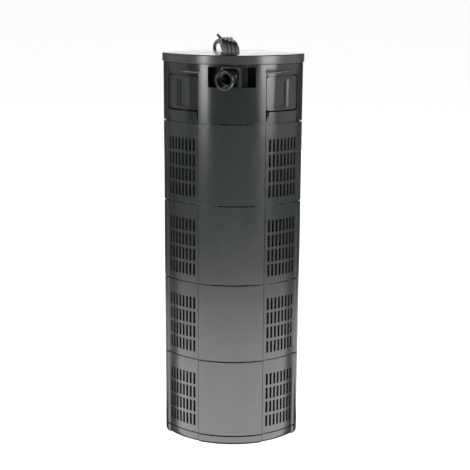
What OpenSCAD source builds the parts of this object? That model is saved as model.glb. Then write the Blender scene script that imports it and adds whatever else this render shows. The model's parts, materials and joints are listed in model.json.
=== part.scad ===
// Corner filter for an aquarium: a pump head on a stack of four foam modules,
// each with a pair of intake grilles, standing on a base tray.
// Front is -Y, +Z is up, and the origin is the middle of the tray's underside.

/* [Body plan] */
// Width of the body from side to side
body_w = 120; // [116:1:150]
// Radius of the two side corners
corner_r = 8; // [6.5:0.5:10]
// Distance from the front of the body back to the centres of the side corners
corner_back = 34.3; // [28:0.1:42]
// Width of the flat at the back, between the two slanting rear walls
rear_flat = 35.3; // [30:0.1:60]
// Radius of the two edges of the rear flat
rear_r = 12; // [8:0.5:14]
// Thickness of the moulded walls
wall = 2.2; // [1.6:0.1:3]
// Depth of the recessed side panels
recess = 1.2; // [0.6:0.1:2]
// Half of the width of the raised front panel, along X
panel_half = 28.4; // [24:0.1:32]
// Width of a recessed side panel, along the curve
recess_w = 35.6; // [33:0.1:38]

/* [Stack] */
// Height of one filter module
module_h = 70; // [60:1:100]
// Height of the base tray
base_h = 8.5; // [7:0.5:14]
// Height of the pump head without its lid
head_h = 49.5; // [49.5:0.5:70]
// Height of the lid
lid_h = 7.8; // [6:0.1:14]
// How far the lid stands out beyond the body all round
lid_over = 0.9; // [0.2:0.1:1.5]
// Height of the groove's half at each seam
seam_h = 0.5; // [0.3:0.1:1]
// Height of the spigot that enters the piece above
spigot_h = 5.2; // [3:0.1:5.6]
// Depth of the thick rim under a module's spigot
root_h = 8; // [6:0.5:10]
// Thickness of the spigots
spigot_t = 1.5; // [1.2:0.1:2.2]
// Running clearance between pieces that lift apart
fit_gap = 0.3; // [0.25:0.05:0.5]

/* [Grilles] */
// Width of an intake slot
slot_w = 2.1; // [1.4:0.1:2.6]
// Height of an intake slot
slot_h = 10.6; // [8:0.1:12]
// Distance between the middles of two columns of slots, along the curve
slot_pitch = 3.84; // [3.2:0.01:4.1]
// Distance between the middles of two rows of slots
row_pitch = 13.15; // [11:0.05:20]
// Columns of slots in a grille
slot_cols = 8; // [3:1:8]
// Rows of slots in a grille
slot_rows = 4; // [2:1:4]
// Distance from a module's top to its first row
grille_top = 13.3; // [12:0.1:20]
// How far the grille sits outwards from the middle of its panel
grille_shift = 0.8; // [0:0.1:1]

/* [Module inside] */
// Height of a module's floor above its lower edge
floor_z = 6.2; // [6:0.1:8]
// Thickness of the floors
floor_t = 2; // [1.5:0.1:3]
// Outer radius of the core tubes
core_r = 10; // [9:0.5:13]
// Wall of the core tubes
core_wall = 2; // [1.6:0.1:2.5]
// Thickness of a core tube's flange
flange_t = 2; // [1.5:0.1:3]
// Distance from the front of the body back to the axis of the cores and the pump
pump_back = 48; // [46:0.5:52]
// Space between a foam block and its module
foam_gap = 1; // [0.6:0.1:3]
// Height of the foam's top below the module's top
foam_drop = 12; // [11:0.5:20]
// Radius of the core seals' round section
seal_r = 0.8; // [0.5:0.05:1]

/* [Outlet] */
// Half of the width of the outlet window
window_half = 20.1; // [18:0.1:24]
// Height of the outlet window
window_h = 16.8; // [16.8:0.1:17.6]
// Height of the outlet's middle above the head's lower edge
outlet_z = 39.2; // [38.5:0.1:39.6]
// Distance from the front of the body back to the outlet's pivot
outlet_back = 6; // [5.5:0.1:6.5]
// Radius of the spout's ball
ball_r = 7.4; // [7:0.1:7.4]
// Outer radius of the spout's mouth
mouth_r = 8.8; // [8:0.1:9]
// Radius of the bore in the spout's mouth
mouth_bore_r = 6.6; // [6:0.1:7]
// Depth of the bore in the spout's mouth
mouth_bore_l = 6; // [4:0.5:6]
// Distance from the pivot to the face of the mouth
spout_l = 16.5; // [16:0.1:20]
// Turn of the spout towards the left
spout_pan = 24; // [0:1:30]
// Dip of the spout below level
spout_dip = 6; // [2:1:13]

/* [Latches] */
// Width of a latch opening
latch_w = 33.4; // [28:0.1:33.6]
// Height of a latch opening
latch_h = 30; // [26:0.5:30]
// Height of a latch opening's lower edge above the head's lower edge
latch_z = 10; // [9.5:0.1:11]
// Gap round a latch in its opening
latch_gap = 0.8; // [0.5:0.1:1.2]
// Height of the latch pins above the head's lower edge
pin_z = 44.5; // [44:0.1:44.6]
// Distance of the latch pins behind the front curve
pin_back = 9.5; // [9:0.1:11]
// Radius of the latch pins
pin_r = 1.5; // [1.2:0.1:1.6]

/* [Pump] */
// Width of the motor block
motor_w = 42; // [36:1:44]
// Depth of the motor block
motor_d = 36; // [32:1:36]
// Height of the motor block
motor_h = 22; // [20:1:24]
// Radius of the rotor magnet
magnet_r = 8; // [6:0.1:8.4]
// Radius of the rotor's shaft
shaft_r = 1.5; // [1:0.1:2]
// Height of the pump chamber above the head's floor
chamber_h = 14; // [12:0.5:15]
// Outer radius of the pump chamber
chamber_r = 17; // [16:0.5:17]

/* [Wall cups] */
// Radius of a suction cup
cup_r = 15; // [10:0.5:16]
// Distance from the rear wall to the cup's rim
cup_l = 9; // [7:0.5:14]

/* [Power cord] */
// Diameter of the cord
cord_d = 3.1; // [2.6:0.1:3.2]
// Length of the folded hank
hank_l = 72; // [60:1:80]
// Width of the folded hank
hank_w = 12.6; // [10:0.1:14]
// Height of the folded hank
hank_h = 12.6; // [11:0.1:16]

/* [Hidden] */
$fn = 64;

// Plan of the body, worked out from its width, its corners and its rear flat
slant = sqrt(2);
corner_x = body_w / 2 - corner_r;
body_d = corner_x + corner_back + corner_r * slant - rear_flat / 2;
front_y = -body_d / 2;
rear_y = body_d / 2;
corner_y = front_y + corner_back;
front_r = (corner_x ^ 2 + corner_back ^ 2 - corner_r ^ 2) / (2 * (corner_back - corner_r));
arc_y = front_y + front_r;
tangent_a = atan2(corner_x, arc_y - corner_y);
rear_cy = rear_y - rear_r;
rear_cx = corner_x + corner_y + corner_r * slant - rear_cy - rear_r * slant;
panel_a = asin(panel_half / front_r);
side_a = panel_a + recess_w / front_r * 180 / PI;
latch_a = (panel_a + side_a) / 2;

// Insets of the shells, the spigots and the foam from the outline
skin = wall + recess;
spigot_out = skin + fit_gap;
spigot_in = spigot_out + spigot_t;
overlap = 0.4;
lid_t = 2.2;

// Levels of the stack
head_z = base_h + 4 * module_h;
lid_z = head_z + head_h;
top_z = lid_z + lid_h;

// Core tubes and pump axis
pump_y = front_y + pump_back;
core_in = core_r - core_wall;
core_low = 2;
neck_r = core_in - 1;
neck_up = spigot_h + 0.3;
neck_wall = 1.8;
seal_mid = core_in - 0.1 - seal_r;
flange_r = core_r + 3;

// Pump head
floor_top = head_z + floor_z + floor_t;
chamber_top = floor_top + flange_t + chamber_h;
motor_top = chamber_top + motor_h;
well_r = magnet_r + 1;
bush_r = 3.5;
bush_h = 3;
shaft_hole_r = shaft_r + 0.02;
spin_hole_r = shaft_r + 0.06;
post_x = motor_w / 2 + 4;
post_ys = [-10, 10];
screw_r = 1.5;
ear_t = 3;

// Outlet
pivot_y = front_y + outlet_back;
pivot_z = head_z + outlet_z;
cavity_r = ball_r + 0.2;
drum_r = 9.6;
drum_h = window_h / 2 - fit_gap;
drum_cut = 4.2;
neck_out_r = 5.9;
slot_half = neck_out_r + 0.35;
dip_most = 16;
rise_most = 13;
ball_bore_r = 4.6;
trunnion_r = 2;
trunnion_l = 3;
socket_half = 13;
socket_back = pivot_y + 14;
duct_back = pump_y - motor_d / 2 - 0.5;
duct_wall = 1.6;
duct_half = 9;
port_r = 6;

// Latches: levels and places in the curve's own frame
hook_half = 4;
hook_low = -7.4;
plate_out = 1.9;
plate_in = 4.3;
web_in = 6.3;
rib_x = 3.2;
rib_w = 1.2;
knuckle_r = 2.8;
lug_in = 15.5;
lug_out = 18.5;
spring_wire = 0.5;
spring_coil = 2.35;

// Rear gland, power cord and plug
gland_x = -18;
gland_y = rear_y + 5.8;
gland_z = head_z + 24;
relief_top = top_z - 5.3;
tie_t = 0.6;
tie_l = 5;
hank_turn = 5;
hank_x = 0.8;
hank_front = rear_y - 90;
hank_z = top_z + tie_t + 0.1;
plug_x = 3;
plug_y = rear_y + 8.5;
plug_top = top_z - 45.8;
plug_l = 37;
plug_w = 35;
plug_neck = 13;
plug_t = 13.7;
prong_gap = 18.6;
prong_r = 2;
prong_l = 19;
// Cord routes, as offsets from the middle of the lid's rear edge
lead_route = [
    [-18, 5.8, -5.3], [-18, 5.8, -2.8], [-18.2, 5.4, 0.4], [-17.8, 3.4, 3.4], [-16.7, 0, 5.8],
    [-15.3, -4.4, 7.2], [-14, -9, 7.8], [-12.6, -13.6, 8], [-11, -18.5, 8.1]
];
tail_route = [
    [-4.9, -18.5, 2.6], [-3.5, -14.5, 2.3], [-1.6, -9.5, 2.5], [0.6, -4, 2.8], [2, 1, 1.8],
    [2.8, 5.2, -1.2], [3, 7.6, -5.8], [3, 8.4, -11.8], [3, 8.5, -19.8], [3, 8.5, -29.8],
    [3, 8.5, -38.8], [3, 8.5, -45.8]
];

// ---- Outline and shared shapes ----

// Points on an arc about c; angle 0 faces the front and 90 faces +X
function arc_points(c, r, a0, a1, n, first = 0) =
    [for (i = [first:n]) let (a = a0 + (a1 - a0) * i / n) c + r * [sin(a), -cos(a)]];

// Right half of the outline, inset by o, with its side panel set back by rec
function half_outline(o, rec) = let (c = [0, arc_y], first = rec > 0 ? 0 : 1) concat(
    arc_points(c, front_r - o, 0, panel_a, 8, 1),
    arc_points(c, front_r - o - rec, panel_a, side_a, 10, first),
    arc_points(c, front_r - o, side_a, tangent_a, 1, first),
    arc_points([corner_x, corner_y], corner_r - o, tangent_a, 135, 9, 1),
    arc_points([rear_cx, rear_cy], rear_r - o, 135, 180, 5)
);

module plan(o = 0, rec = 0) {
    half = half_outline(o, rec);
    mirrored = [for (i = [len(half) - 1:-1:0]) [-half[i].x, half[i].y]];
    polygon(concat([[0, arc_y - front_r + o]], half, mirrored));
}

module slab(z0, z1, o = 0, rec = 0) {
    translate([0, 0, z0]) linear_extrude(z1 - z0) plan(o, rec);
}

module rim(z0, z1, outer, inner) {
    difference() {
        slab(z0, z1, outer);
        slab(z0 - 1, z1 + 1, inner);
    }
}

// Places its children on the front curve: x runs along the curve and y inwards
module on_arc(a) {
    translate([0, arc_y]) rotate([0, 0, a]) translate([0, -front_r]) children();
}

// A sector of tube about the front curve's centre, from inset o0 to inset o1
module curve_band(o0, o1, z0, z1) {
    translate([0, arc_y, z0]) difference() {
        cylinder(r = front_r - o0, h = z1 - z0, $fn = 180);
        translate([0, 0, -1]) cylinder(r = front_r - o1, h = z1 - z0 + 2, $fn = 180);
    }
}

module on_pump(z) {
    translate([0, pump_y, z]) children();
}

module pipe(r_out, r_in, h) {
    difference() {
        cylinder(r = r_out, h = h);
        translate([0, 0, -1]) cylinder(r = r_in, h = h + 2);
    }
}

// Solid casing with half a groove at each seam
module casing(z0, z1, low = seam_h, high = seam_h) {
    slab(z0 + low, z1 - high, 0, recess);
    if (low > 0) slab(z0, z0 + low + 0.01, seam_h, recess);
    if (high > 0) slab(z1 - high - 0.01, z1, seam_h, recess);
}

// Swept round wire or cord along a list of points
function unit(v) = v / norm(v);
function tangent_at(p, i) = unit(p[min(i + 1, len(p) - 1)] - p[max(i - 1, 0)]);
function ring_points(p, i, r, n) =
    let (t = tangent_at(p, i), u = unit(cross(t, [1, 0, 0])), v = cross(t, u))
    [for (k = [0:n - 1]) p[i] + r * (cos(360 * k / n) * u + sin(360 * k / n) * v)];
module swept(p, r, n) {
    last = len(p) - 1;
    points = [for (i = [0:last]) each ring_points(p, i, r, n)];
    sides = [for (i = [0:last - 1]) for (k = [0:n - 1])
        let (a = i * n + k, b = i * n + (k + 1) % n)
        each [[a, a + n, b], [b, a + n, b + n]]];
    caps = [[for (k = [0:n - 1]) k], [for (k = [n - 1:-1:0]) last * n + k]];
    polyhedron(points, concat(sides, caps));
}

// Smooth curve through the points of a route
function spline(p0, p1, p2, p3, t) = 0.5 * (2 * p1 + (p2 - p0) * t
    + (2 * p0 - 5 * p1 + 4 * p2 - p3) * t ^ 2 + (3 * p1 - p0 - 3 * p2 + p3) * t ^ 3);
function smooth_route(p, n = 2) = let (last = len(p) - 1) concat(
    [for (i = [0:last - 1]) for (k = [0:n - 1])
        spline(p[max(i - 1, 0)], p[i], p[i + 1], p[min(i + 2, last)], k / n)],
    [p[last]]
);

// ---- Base tray and filter modules ----

module base_tray() {
    color([0.20, 0.21, 0.21]) {
        difference() {
            union() {
                slab(0, 1.01, 1.5, recess);
                slab(1, 2.01, 0.6, recess);
                casing(2, base_h, 0);
            }
            slab(3, base_h + 1, skin);
        }
        rim(2.9, base_h, skin - overlap, spigot_in);
        rim(base_h - 1, base_h + spigot_h, spigot_out, spigot_in);
        on_pump(2.9) cylinder(r = neck_r + 0.7, h = base_h + neck_up - 2.9);
    }
}

module grille(z0) {
    step_a = slot_pitch / (front_r - recess) * 180 / PI;
    shift_a = grille_shift / (front_r - recess) * 180 / PI;
    for (side = [-1, 1]) for (col = [0:slot_cols - 1]) for (row = [0:slot_rows - 1]) {
        a = latch_a + shift_a + (col - (slot_cols - 1) / 2) * step_a;
        z = z0 + module_h - grille_top - slot_h - row * row_pitch;
        on_arc(side * a) translate([-slot_w / 2, -1, z]) cube([slot_w, skin + 1.6, slot_h]);
    }
}

// Sockets for the suction cups' stems, through the slanting rear walls
module on_rear_wall(side, z) {
    mid_x = (corner_x + rear_cx + (corner_r + rear_r) / slant) / 2;
    mid_y = (corner_y + rear_cy + (corner_r + rear_r) / slant) / 2;
    translate([side * mid_x, mid_y, z]) rotate([0, 0, side > 0 ? 45 : 135]) rotate([0, 90, 0]) children();
}

module floor_plate(z0, hole_r) {
    difference() {
        slab(z0, z0 + floor_t, skin - overlap);
        on_pump(z0 - 1) {
            cylinder(r = hole_r, h = floor_t + 2);
            for (i = [0:7]) rotate(i * 45 + 22.5) translate([flange_r + 2, -1.5]) cube([10, 3, floor_t + 2]);
        }
    }
}

module filter_module(k) {
    z0 = base_h + (4 - k) * module_h;
    z1 = z0 + module_h;
    color([0.23, 0.24, 0.24]) difference() {
        union() {
            difference() {
                casing(z0, z1);
                slab(z0 - 1, z1 + 1, skin);
            }
            rim(z1 - root_h, z1, skin - overlap, spigot_in);
            rim(z1 - 1, z1 + spigot_h, spigot_out, spigot_in);
            floor_plate(z0 + floor_z, core_r + fit_gap);
        }
        grille(z0);
        if (k == 1) for (side = [-1, 1]) on_arc(side * latch_a)
            translate([-hook_half - 1.5, skin - 0.1, z1 - root_h - 1])
            cube([2 * hook_half + 3, spigot_in - skin + 1, root_h - 2]);
        if (k == 4) for (side = [-1, 1]) on_rear_wall(side, z0 + module_h / 2)
            translate([0, 0, -skin - 1]) cylinder(r = 3, h = skin + 2);
    }
}

// Perforated suction tube in the middle of a module
module core(k) {
    z0 = base_h + (4 - k) * module_h;
    shoulder = module_h - root_h;
    color([0.16, 0.16, 0.17]) on_pump(z0) difference() {
        union() {
            translate([0, 0, core_low]) cylinder(r = core_r, h = shoulder - core_low);
            translate([0, 0, floor_z + floor_t]) cylinder(r = flange_r, h = flange_t);
            translate([0, 0, shoulder]) cylinder(r = neck_r, h = module_h - shoulder + neck_up);
        }
        translate([0, 0, core_low - 1]) cylinder(r = core_in, h = shoulder - core_low - 1);
        translate([0, 0, shoulder - 3]) cylinder(r = neck_r - neck_wall, h = module_h);
        for (row = [0:2]) for (i = [0:2]) rotate(i * 60)
            translate([-core_r - 1, -1.5, 15 + row * 15]) cube([2 * core_r + 2, 3, 10]);
        translate([0, 0, module_h + core_low + 0.7]) difference() {
            cylinder(r = neck_r + 1, h = 2 * seal_r + 0.2);
            translate([0, 0, -1]) cylinder(r = seal_mid - seal_r - 0.05, h = 4);
        }
    }
}

module core_seal(k) {
    z0 = base_h + (4 - k) * module_h;
    color([0.05, 0.05, 0.05]) on_pump(z0 + module_h + core_low + 0.8 + seal_r)
        rotate_extrude() translate([seal_mid, 0]) circle(seal_r, $fn = 24);
}

module foam(k) {
    z0 = base_h + (4 - k) * module_h;
    low = floor_z + floor_t + flange_t + 0.2;
    color([0.10, 0.12, 0.13]) difference() {
        slab(z0 + low, z0 + module_h - foam_drop, skin + foam_gap);
        on_pump(z0) cylinder(r = core_r + 0.5, h = module_h);
        if (k == 4) for (side = [-1, 1]) on_rear_wall(side, z0 + module_h / 2)
            translate([0, 0, -skin - 2.8]) cylinder(r = 5.2, h = 5);
    }
}

// ---- Pump head ----

// Rounded rectangle on the front curve, cut or raised along the curve's radius
module curve_tile(a, w, h, r, z, y0, y1) {
    on_arc(a) translate([0, y1, z]) rotate([90, 0, 0]) linear_extrude(y1 - y0) {
        translate([-w / 2 + r, 0]) square([w - 2 * r, h]);
        translate([-w / 2, r]) square([w, h - 2 * r]);
        for (x = [-w / 2 + r, w / 2 - r]) for (y = [r, h - r]) translate([x, y]) circle(r, $fn = 32);
    }
}

module head_housing() {
    collar_z = head_z + pin_z - 2.4;
    color([0.19, 0.20, 0.21]) difference() {
        union() {
            difference() {
                union() {
                    casing(head_z, collar_z, seam_h, 0);
                    slab(collar_z - 0.01, lid_z, 0);
                }
                slab(head_z - 1, lid_z + 1, skin);
            }
            floor_plate(head_z + floor_z, core_r + fit_gap);
            for (side = [-1, 1]) on_arc(side * latch_a) for (x = [lug_in, -lug_out])
                translate([x, 4, head_z + pin_z - 3]) cube([lug_out - lug_in, pin_back - 0.5, 6]);
            for (x = [-post_x, post_x]) for (y = post_ys)
                translate([x, pump_y + y, floor_top - 0.5])
                    cylinder(r = 3.5, h = chamber_top - floor_top + 0.5);
        }
        translate([-window_half, front_y - 1, pivot_z - window_h / 2])
            cube([2 * window_half, outlet_back + 5, window_h]);
        for (side = [-1, 1]) {
            curve_tile(side * latch_a, latch_w, latch_h, 3, head_z + latch_z, -2, skin + 2.5);
            on_arc(side * latch_a) {
                translate([-hook_half - 3, skin + 1, head_z + floor_z - 1])
                    cube([2 * hook_half + 6, 16, floor_t + 2]);
                translate([-lug_out - 1, pin_back, head_z + pin_z]) rotate([0, 90, 0])
                    cylinder(r = pin_r + 0.02, h = 2 * lug_out + 2);
            }
            on_rear_wall(side, head_z + head_h / 2)
                translate([0, 0, -skin - 1]) cylinder(r = 3, h = skin + 2);
        }
        for (x = [-post_x, post_x]) for (y = post_ys)
            translate([x, pump_y + y, chamber_top - 7]) cylinder(r = screw_r, h = 8);
        translate([gland_x, rear_y + 2, gland_z]) rotate([90, 0, 0]) cylinder(r = 3.6, h = 16);
    }
}

module lid() {
    color([0.26, 0.26, 0.25]) {
        difference() {
            union() {
                slab(lid_z, lid_z + seam_h + 0.01, seam_h);
                slab(lid_z + seam_h, top_z - 0.5, -lid_over);
                slab(top_z - 0.51, top_z, -lid_over + 0.6);
            }
            slab(lid_z - 1, top_z - lid_t, wall);
        }
        difference() {
            rim(lid_z - 1.9, top_z - lid_t + 0.1, spigot_out, spigot_in);
            translate([-socket_half - 2, front_y - 2, lid_z - 3]) cube([2 * socket_half + 4, 9, 4.6]);
        }
    }
}

// Volute with the intake tube below it and the outlet stub in front
module pump_chamber() {
    tube_low = head_z + core_low;
    bowl = floor_top + flange_t;
    color([0.14, 0.14, 0.15]) difference() {
        union() {
            on_pump(tube_low) cylinder(r = core_r, h = bowl - tube_low);
            on_pump(floor_top) cylinder(r = chamber_r + 2, h = flange_t);
            on_pump(floor_top) cylinder(r = chamber_r, h = chamber_top - floor_top);
            translate([-6, duct_back, bowl + 0.5]) cube([12, 8, 8.5]);
        }
        on_pump(tube_low - 1) difference() {
            cylinder(r = core_in, h = bowl - tube_low + 1.1);
            translate([0, 0, bowl - tube_low - bush_h + 1]) {
                cylinder(r = bush_r + 1.4, h = bush_h + 1);
                for (i = [0:2]) rotate(i * 120 + 30)
                    translate([0, -0.9, 0]) cube([core_in + 1, 1.8, bush_h + 1]);
            }
        }
        on_pump(bowl - bush_h) cylinder(r = bush_r + 0.05, h = bush_h + 1);
        on_pump(bowl) cylinder(r = chamber_r - 2.4, h = chamber_h - 2);
        on_pump(bowl) cylinder(r = well_r - 0.4, h = chamber_h + 1);
        on_pump(chamber_top - 1.2) pipe(13, 11.4, 3);
        translate([-4.4, duct_back - 1, bowl + 2]) cube([8.8, 12, 5]);
    }
}

module chamber_seal() {
    color([0.05, 0.05, 0.05]) on_pump(chamber_top - 1.15) pipe(12.9, 11.5, 1.15);
}

module impeller() {
    low = floor_top + flange_t + 1.5;
    color([0.75, 0.76, 0.74]) on_pump(low) difference() {
        union() {
            cylinder(r = 4, h = chamber_top + 1 - low);
            translate([0, 0, 6]) cylinder(r = well_r - 1.2, h = 1.4);
            for (i = [0:6]) rotate(i * 360 / 7) translate([3, -0.7, 0]) cube([10, 1.4, 6.2]);
        }
        translate([0, 0, -1]) cylinder(r = spin_hole_r, h = 30);
    }
}

module rotor_magnet() {
    color([0.12, 0.12, 0.13]) on_pump(chamber_top + 1) pipe(magnet_r, spin_hole_r, motor_h - 6);
}

module rotor_shaft() {
    low = floor_top + flange_t - bush_h + 0.3;
    color([0.93, 0.92, 0.88]) on_pump(low) cylinder(r = shaft_r, h = motor_top - 1.5 - low);
}

module shaft_bush_upper() {
    color([0.06, 0.06, 0.06]) on_pump(motor_top - 1 - bush_h) pipe(bush_r, shaft_hole_r, bush_h - 0.1);
}

module shaft_bush_lower() {
    color([0.06, 0.06, 0.06]) on_pump(floor_top + flange_t - bush_h) pipe(bush_r, shaft_hole_r, bush_h);
}

module motor_block() {
    color([0.10, 0.11, 0.12]) difference() {
        union() {
            translate([-motor_w / 2, pump_y - motor_d / 2, chamber_top]) cube([motor_w, motor_d, motor_h]);
            for (x = [-post_x, post_x]) for (y = post_ys) translate([x, pump_y + y, chamber_top]) {
                cylinder(r = 3.5, h = ear_t);
                translate([x > 0 ? -6 : 0, -3.5, 0]) cube([6, 7, ear_t]);
            }
        }
        on_pump(chamber_top - 1) {
            cylinder(r = well_r, h = motor_h - bush_h - 1 + 1);
            cylinder(r = bush_r + 0.05, h = motor_h);
        }
        for (x = [-post_x, post_x]) for (y = post_ys)
            translate([x, pump_y + y, chamber_top - 1]) cylinder(r = screw_r + 0.2, h = ear_t + 2);
    }
}

module motor_screws() {
    color([0.72, 0.73, 0.75]) for (x = [-post_x, post_x]) for (y = post_ys)
        translate([x, pump_y + y, chamber_top]) {
            translate([0, 0, -6.8]) cylinder(r = screw_r - 0.02, h = ear_t + 6.9);
            difference() {
                translate([0, 0, ear_t]) cylinder(r = 2.8, h = 1.8);
                translate([0, 0, ear_t + 1]) cylinder(r = 1.2, h = 2, $fn = 6);
            }
        }
}

// ---- Outlet ----

module outlet_socket() {
    low = pivot_z - drum_h - fit_gap - 3.3;
    high = pivot_z + drum_h + fit_gap + 3.3;
    color([0.08, 0.09, 0.09]) difference() {
        intersection() {
            translate([-socket_half, front_y, low])
                cube([2 * socket_half, socket_back - front_y, high - low]);
            curve_band(skin + 0.4, front_r, low - 1, high + 1);
        }
        translate([0, pivot_y, pivot_z - drum_h - fit_gap])
            cylinder(r = drum_r + fit_gap, h = 2 * (drum_h + fit_gap));
        translate([0, pivot_y, low - 1]) cylinder(r = trunnion_r + 0.06, h = high - low + 2);
        translate([-socket_half - 1, front_y - 1, pivot_z - drum_h - fit_gap])
            cube([2 * socket_half + 2, outlet_back + 1, 2 * (drum_h + fit_gap)]);
        translate([0, socket_back + 1, pivot_z]) rotate([90, 0, 0]) cylinder(r = port_r, h = 12);
    }
}

module outlet_duct() {
    low = floor_top + flange_t;
    high = pivot_z + port_r + 2;
    depth = duct_back - socket_back;
    color([0.12, 0.12, 0.13]) difference() {
        translate([-duct_half, socket_back, low]) cube([2 * duct_half, depth, high - low]);
        translate([-duct_half + duct_wall, socket_back + duct_wall, low + duct_wall])
            cube([2 * (duct_half - duct_wall), depth - 2 * duct_wall, high - low - 2 * duct_wall]);
        translate([0, socket_back + duct_wall + 1, pivot_z]) rotate([90, 0, 0])
            cylinder(r = port_r, h = duct_wall + 2);
        translate([-4.4, duct_back - duct_wall - 1, low + 2]) cube([8.8, duct_wall + 2, 5]);
    }
}

// Frames on the outlet's pivot: the turret turns level, and the spout also dips
module on_turret() {
    translate([0, pivot_y, pivot_z]) rotate([0, 0, -spout_pan]) children();
}
module on_spout(dip = spout_dip) {
    on_turret() rotate([90 + dip, 0, 0]) children();
}

// Side view of the room that the neck sweeps, out along X from the pivot
module tilt_fan() {
    reach = 20;
    polygon([
        for (far = [0, reach]) [far * cos(dip_most) - slot_half * sin(dip_most),
            -far * sin(dip_most) - slot_half * cos(dip_most)],
        for (far = [reach, 0]) [far * cos(rise_most) - slot_half * sin(rise_most),
            far * sin(rise_most) + slot_half * cos(rise_most)]
    ]);
}

module turret() {
    color([0.09, 0.10, 0.10]) difference() {
        union() {
            difference() {
                on_turret() translate([0, 0, -drum_h]) cylinder(r = drum_r, h = 2 * drum_h);
                on_turret() translate([-15, -30, -15]) cube([30, 30 - drum_cut, 30]);
            }
            translate([0, pivot_y, pivot_z - drum_h - trunnion_l])
                cylinder(r = trunnion_r, h = 2 * (drum_h + trunnion_l));
        }
        translate([0, pivot_y, pivot_z]) sphere(cavity_r);
        on_turret() rotate([90, 0, -90]) linear_extrude(2 * slot_half, center = true) tilt_fan();
        on_turret() rotate([-90, 0, 0]) cylinder(r = 5.5, h = 20);
    }
}

// Ball, neck and flared mouth in one piece
module spout() {
    lip = 2.6;
    flare = 4;
    neck_l = spout_l - lip - flare;
    color([0.15, 0.16, 0.17]) on_spout() difference() {
        union() {
            sphere(ball_r);
            cylinder(r = neck_out_r, h = neck_l + 0.5);
            rotate_extrude() polygon([
                [0, neck_l], [neck_out_r, neck_l], [mouth_r - 1, neck_l + 1.4], [mouth_r - 1, spout_l - lip - 0.6],
                [mouth_r, spout_l - lip], [mouth_r, spout_l - 0.8], [mouth_r - 0.8, spout_l], [0, spout_l]
            ]);
        }
        translate([0, 0, -20]) cylinder(r = ball_bore_r, h = 40);
        translate([0, 0, spout_l - mouth_bore_l]) cylinder(r = mouth_bore_r, h = mouth_bore_l + 1);
    }
}

// ---- Latches, built on the right and mirrored for the left ----

module latch_block(x0, x1, o0, o1, z0, z1) {
    intersection() {
        on_arc(latch_a) translate([x0, -1, z0]) cube([x1 - x0, 24, z1 - z0]);
        curve_band(o0, o1, z0 - 1, z1 + 1);
    }
}

module latch() {
    w = latch_w - 2 * latch_gap;
    h = latch_h - 2 * latch_gap;
    z0 = head_z + latch_z + latch_gap;
    pin_up = head_z + pin_z;
    color([0.17, 0.18, 0.19]) difference() {
        union() {
            difference() {
                intersection() {
                    curve_tile(latch_a, w, h, 2.4, z0, -2, 12);
                    curve_band(plate_out, plate_in, z0 - 1, z0 + h + 1);
                }
                on_arc(latch_a) translate([0, -37.2, z0 + 2.6]) cylinder(r = 40.2, h = h - 5.2, $fn = 180);
            }
            latch_block(rib_x - rib_w / 2, rib_x + rib_w / 2, plate_out + 0.2, plate_in, z0 + 3.8, z0 + 24.4);
            latch_block(-12.5, 12.5, plate_in - 0.2, web_in, z0 + 1.5, pin_up - 3);
            for (x = [8, -14.9]) {
                latch_block(x, x + 6.9, plate_in - 0.1, pin_back + 1, pin_up - 5, pin_up + 1.5);
                on_arc(latch_a) translate([x, pin_back, pin_up]) rotate([0, 90, 0])
                    cylinder(r = knuckle_r, h = 6.9);
            }
            latch_block(-5, 5, 5.7, 7.7, head_z + hook_low, z0 + 4);
            on_arc(latch_a) translate([-hook_half, 0, head_z]) rotate([90, 0, 90])
                linear_extrude(2 * hook_half) polygon([[6, -3.6], [3.95, -6.4], [3.95, hook_low], [6, hook_low]]);
        }
        on_arc(latch_a) translate([-20, pin_back, pin_up]) rotate([0, 90, 0]) cylinder(r = pin_r + 0.06, h = 40);
    }
}

module latch_pin() {
    color([0.78, 0.79, 0.80]) on_arc(latch_a) translate([-lug_out + 0.2, pin_back, head_z + pin_z])
        rotate([0, 90, 0]) cylinder(r = pin_r, h = 2 * lug_out - 0.4);
}

// Torsion spring round the pin, with one leg up to the collar and one down the latch
module latch_spring() {
    turns = 4.25;
    steps = 34;
    coil = [for (i = [0:steps]) let (a = -90 + 360 * turns * i / steps)
        [-6 + 12 * i / steps, -spring_coil * cos(a), -spring_coil * sin(a)]];
    upper_leg = [[-6.4, -4.4, spring_coil]];
    lower_leg = [[6.4, -spring_coil, -7], [6.4, -spring_coil, -12]];
    color([0.80, 0.80, 0.78]) on_arc(latch_a) translate([0, pin_back, head_z + pin_z])
        swept(concat(upper_leg, coil, lower_leg), spring_wire, 6);
}

// ---- Suction cups ----

module wall_cup(side, z) {
    on_rear_wall(side, z) rotate_extrude() polygon([
        [0, -skin - 1.8], [4.2, -skin - 1.8], [4.2, -skin], [2.9, -skin], [2.9, 0], [4.5, 0], [4.5, 2.5],
        [cup_r - 2, cup_l - 2.5], [cup_r, cup_l - 0.6], [cup_r, cup_l], [cup_r - 3, cup_l],
        [cup_r - 5, cup_l - 1.8], [4, 4], [0, 3.4]
    ]);
}

module wall_cups(z) {
    color([0.30, 0.32, 0.33]) for (side = [-1, 1]) wall_cup(side, z);
}

// ---- Power cord, its gland and its plug ----

module cord_gland() {
    color([0.07, 0.07, 0.07]) {
        translate([gland_x, rear_y + 4, gland_z]) rotate([90, 0, 0]) cylinder(r = 3.5, h = 4 + skin + 2.5);
        translate([gland_x - 4.6, rear_y + 0.3, gland_z - 5]) cube([9.2, 10.4, 10]);
        translate([gland_x, gland_y, gland_z]) rotate_extrude() polygon([
            [0, 4], [4, 4], [4, 7], [3.2, 8], [2.1, relief_top - gland_z], [0, relief_top - gland_z]
        ]);
    }
}

module cord_lead() {
    color([0.06, 0.06, 0.06]) translate([0, rear_y, top_z]) swept(smooth_route(lead_route), cord_d / 2, 8);
}

module cord_tail() {
    color([0.06, 0.06, 0.06]) translate([0, rear_y, top_z]) swept(smooth_route(tail_route), cord_d / 2, 8);
}

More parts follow.
